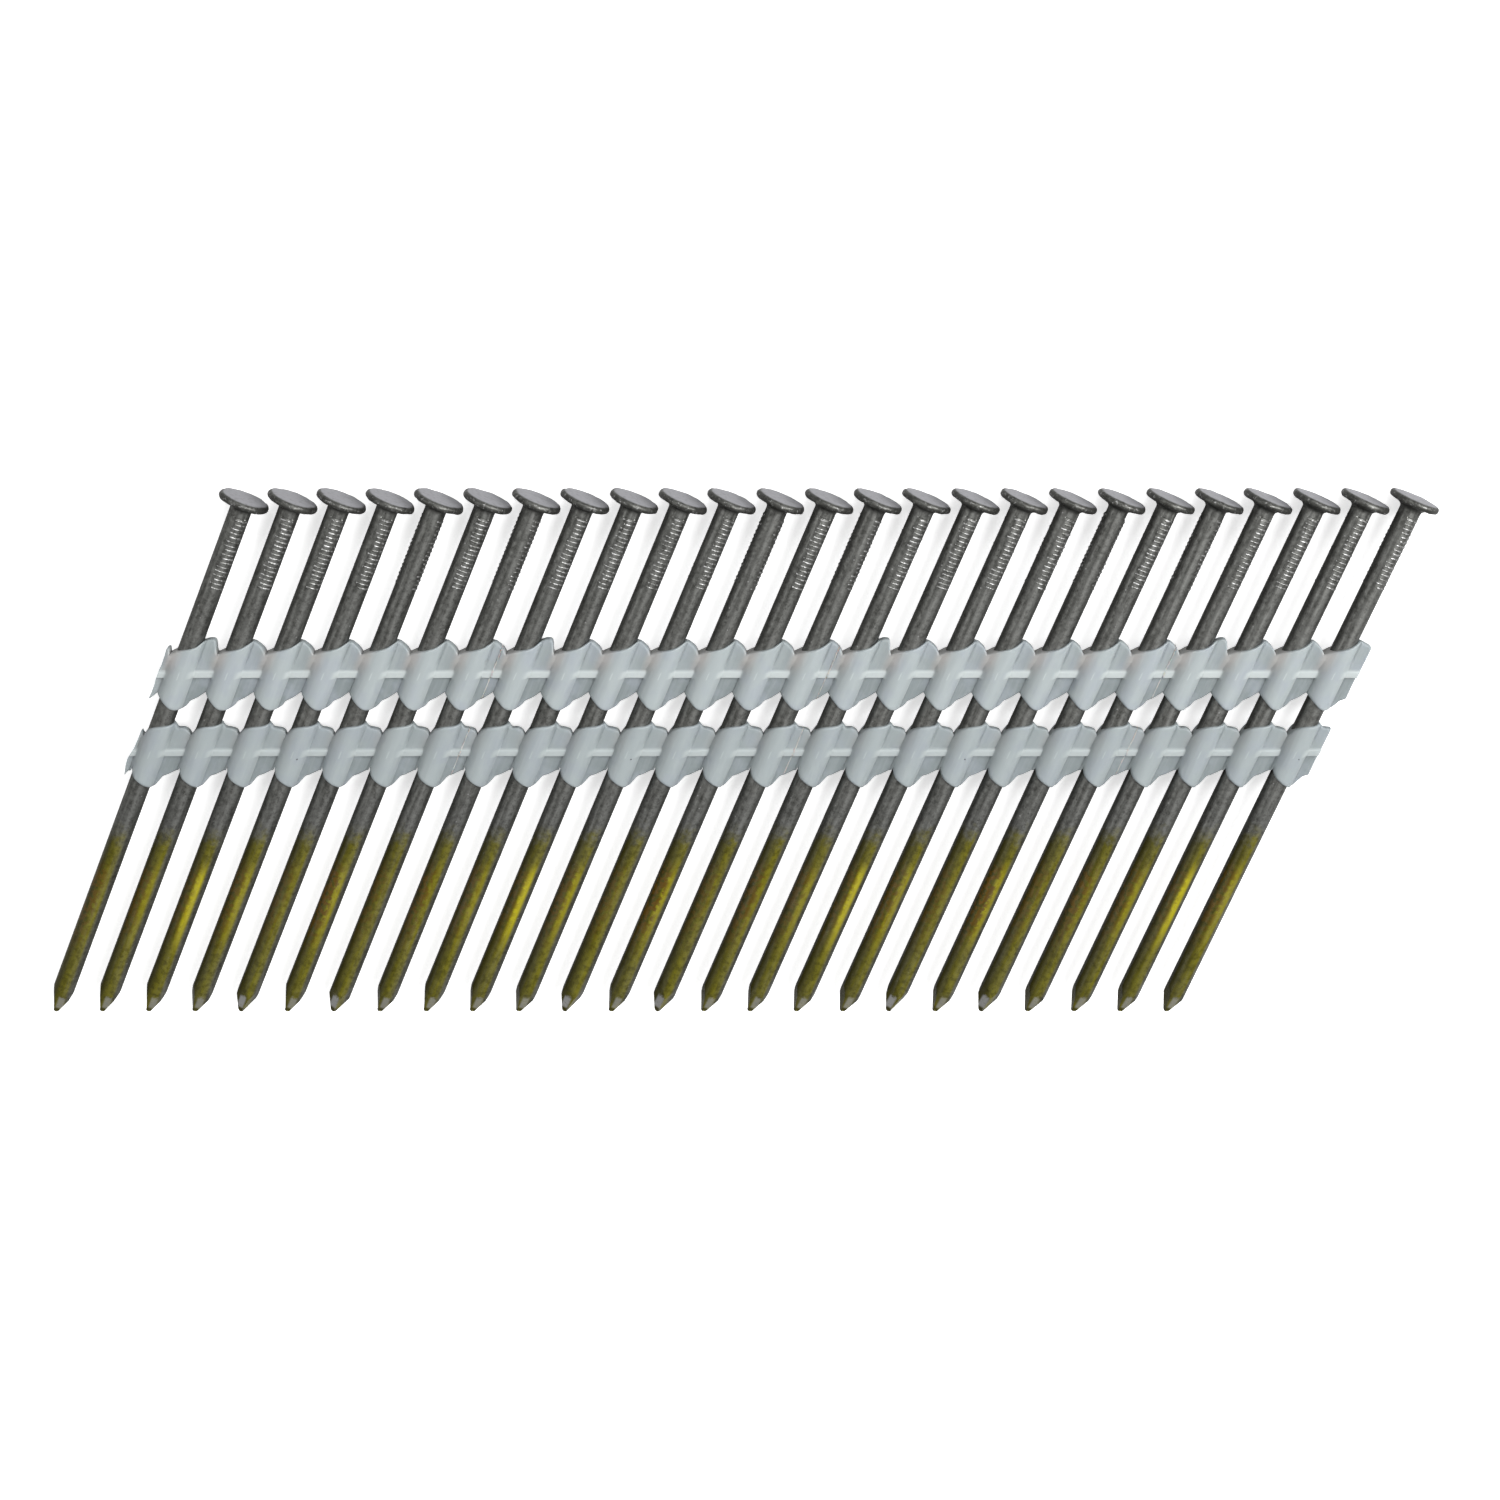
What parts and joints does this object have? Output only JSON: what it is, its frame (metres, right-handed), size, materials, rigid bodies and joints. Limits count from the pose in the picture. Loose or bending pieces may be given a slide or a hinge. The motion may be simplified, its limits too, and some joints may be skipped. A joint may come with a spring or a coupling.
{
  "type": "collated framing nail strip",
  "caption": "Flat strip of full round head framing nails leaning side by side in two moulded plastic bands, to load into a pneumatic nail gun.",
  "frame": {"origin": "centre of the floor of the strip's bounding box, with the strip lying flat", "axes": "+X along the strip from the lead nail to the rear nail, +Y towards the heads, +Z square to the strip; the nails lean 22.4 degrees from Y"},
  "size_m": [0.1956, 0.0778, 0.0071],
  "materials": {
    "nail_steel": "dull mottled wire steel, olive yellow drive coating on the lower third and the point",
    "band_plastic": "translucent pale blue-grey moulded plastic, slightly waxy, with flow lines along the nails"
  },
  "bodies": {
    "section_1": {"upper_band_1": "band_plastic", "lower_band_1": "band_plastic"},
    "section_2": {"upper_band_2": "band_plastic", "lower_band_2": "band_plastic"},
    "section_3": {"upper_band_3": "band_plastic", "lower_band_3": "band_plastic"},
    "section_4": {"upper_band_4": "band_plastic", "lower_band_4": "band_plastic"},
    "nail_01": {"nail_01": "nail_steel"},
    "nail_02": {"nail_02": "nail_steel"},
    "nail_03": {"nail_03": "nail_steel"},
    "nail_04": {"nail_04": "nail_steel"},
    "nail_05": {"nail_05": "nail_steel"},
    "nail_06": {"nail_06": "nail_steel"},
    "nail_07": {"nail_07": "nail_steel"},
    "nail_08": {"nail_08": "nail_steel"},
    "nail_09": {"nail_09": "nail_steel"},
    "nail_10": {"nail_10": "nail_steel"},
    "nail_11": {"nail_11": "nail_steel"},
    "nail_12": {"nail_12": "nail_steel"},
    "nail_13": {"nail_13": "nail_steel"},
    "nail_14": {"nail_14": "nail_steel"},
    "nail_15": {"nail_15": "nail_steel"},
    "nail_16": {"nail_16": "nail_steel"},
    "nail_17": {"nail_17": "nail_steel"},
    "nail_18": {"nail_18": "nail_steel"},
    "nail_19": {"nail_19": "nail_steel"},
    "nail_20": {"nail_20": "nail_steel"},
    "nail_21": {"nail_21": "nail_steel"},
    "nail_22": {"nail_22": "nail_steel"},
    "nail_23": {"nail_23": "nail_steel"},
    "nail_24": {"nail_24": "nail_steel"},
    "nail_25": {"nail_25": "nail_steel"}
  },
  "joints": [
    {"name": "nail_01_slide", "type": "slide", "parent": "section_1", "child": "nail_01", "axis": [-0.3811, -0.9245, 0], "range_m": [0, 0.019]},
    {"name": "nail_02_slide", "type": "slide", "parent": "section_1", "child": "nail_02", "axis": [-0.3811, -0.9245, 0], "range_m": [0, 0.0012]},
    {"name": "nail_03_slide", "type": "slide", "parent": "section_1", "child": "nail_03", "axis": [-0.3811, -0.9245, 0], "range_m": [0, 0.0012]},
    {"name": "nail_04_slide", "type": "slide", "parent": "section_1", "child": "nail_04", "axis": [-0.3811, -0.9245, 0], "range_m": [0, 0.0012]},
    {"name": "nail_05_slide", "type": "slide", "parent": "section_1", "child": "nail_05", "axis": [-0.3811, -0.9245, 0], "range_m": [0, 0.0012]},
    {"name": "nail_06_slide", "type": "slide", "parent": "section_1", "child": "nail_06", "axis": [-0.3811, -0.9245, 0], "range_m": [0, 0.0012]},
    {"name": "nail_07_slide", "type": "slide", "parent": "section_1", "child": "nail_07", "axis": [-0.3811, -0.9245, 0], "range_m": [0, 0.0012]},
    {"name": "nail_08_slide", "type": "slide", "parent": "section_2", "child": "nail_08", "axis": [-0.3811, -0.9245, 0], "range_m": [0, 0.0012]},
    {"name": "nail_09_slide", "type": "slide", "parent": "section_2", "child": "nail_09", "axis": [-0.3811, -0.9245, 0], "range_m": [0, 0.0012]},
    {"name": "nail_10_slide", "type": "slide", "parent": "section_2", "child": "nail_10", "axis": [-0.3811, -0.9245, 0], "range_m": [0, 0.0012]},
    {"name": "nail_11_slide", "type": "slide", "parent": "section_2", "child": "nail_11", "axis": [-0.3811, -0.9245, 0], "range_m": [0, 0.0012]},
    {"name": "nail_12_slide", "type": "slide", "parent": "section_2", "child": "nail_12", "axis": [-0.3811, -0.9245, 0], "range_m": [0, 0.0012]},
    {"name": "nail_13_slide", "type": "slide", "parent": "section_2", "child": "nail_13", "axis": [-0.3811, -0.9245, 0], "range_m": [0, 0.0012]},
    {"name": "nail_14_slide", "type": "slide", "parent": "section_2", "child": "nail_14", "axis": [-0.3811, -0.9245, 0], "range_m": [0, 0.0012]},
    {"name": "nail_15_slide", "type": "slide", "parent": "section_3", "child": "nail_15", "axis": [-0.3811, -0.9245, 0], "range_m": [0, 0.0012]},
    {"name": "nail_16_slide", "type": "slide", "parent": "section_3", "child": "nail_16", "axis": [-0.3811, -0.9245, 0], "range_m": [0, 0.0012]},
    {"name": "nail_17_slide", "type": "slide", "parent": "section_3", "child": "nail_17", "axis": [-0.3811, -0.9245, 0], "range_m": [0, 0.0012]},
    {"name": "nail_18_slide", "type": "slide", "parent": "section_3", "child": "nail_18", "axis": [-0.3811, -0.9245, 0], "range_m": [0, 0.0012]},
    {"name": "nail_19_slide", "type": "slide", "parent": "section_3", "child": "nail_19", "axis": [-0.3811, -0.9245, 0], "range_m": [0, 0.0012]},
    {"name": "nail_20_slide", "type": "slide", "parent": "section_3", "child": "nail_20", "axis": [-0.3811, -0.9245, 0], "range_m": [0, 0.0012]},
    {"name": "nail_21_slide", "type": "slide", "parent": "section_3", "child": "nail_21", "axis": [-0.3811, -0.9245, 0], "range_m": [0, 0.0012]},
    {"name": "nail_22_slide", "type": "slide", "parent": "section_4", "child": "nail_22", "axis": [-0.3811, -0.9245, 0], "range_m": [0, 0.0012]},
    {"name": "nail_23_slide", "type": "slide", "parent": "section_4", "child": "nail_23", "axis": [-0.3811, -0.9245, 0], "range_m": [0, 0.0012]},
    {"name": "nail_24_slide", "type": "slide", "parent": "section_4", "child": "nail_24", "axis": [-0.3811, -0.9245, 0], "range_m": [0, 0.0012]},
    {"name": "nail_25_slide", "type": "slide", "parent": "section_4", "child": "nail_25", "axis": [-0.3811, -0.9245, 0], "range_m": [0, 0.0012]},
    {"name": "seam_1_fold", "type": "hinge", "parent": "section_1", "child": "section_2", "pos_m": [-0.03544, 0.00615, 0.00357], "axis": [-0.3811, -0.9245, 0], "range_deg": [-10, 10], "stiffness_Nm_per_rad": 0.6},
    {"name": "seam_2_fold", "type": "hinge", "parent": "section_2", "child": "section_3", "pos_m": [0.01139, 0.00615, 0.00357], "axis": [-0.3811, -0.9245, 0], "range_deg": [-10, 10], "stiffness_Nm_per_rad": 0.6},
    {"name": "seam_3_fold", "type": "hinge", "parent": "section_3", "child": "section_4", "pos_m": [0.05822, 0.00615, 0.00357], "axis": [-0.3811, -0.9245, 0], "range_deg": [-10, 10], "stiffness_Nm_per_rad": 0.6}
  ]
}
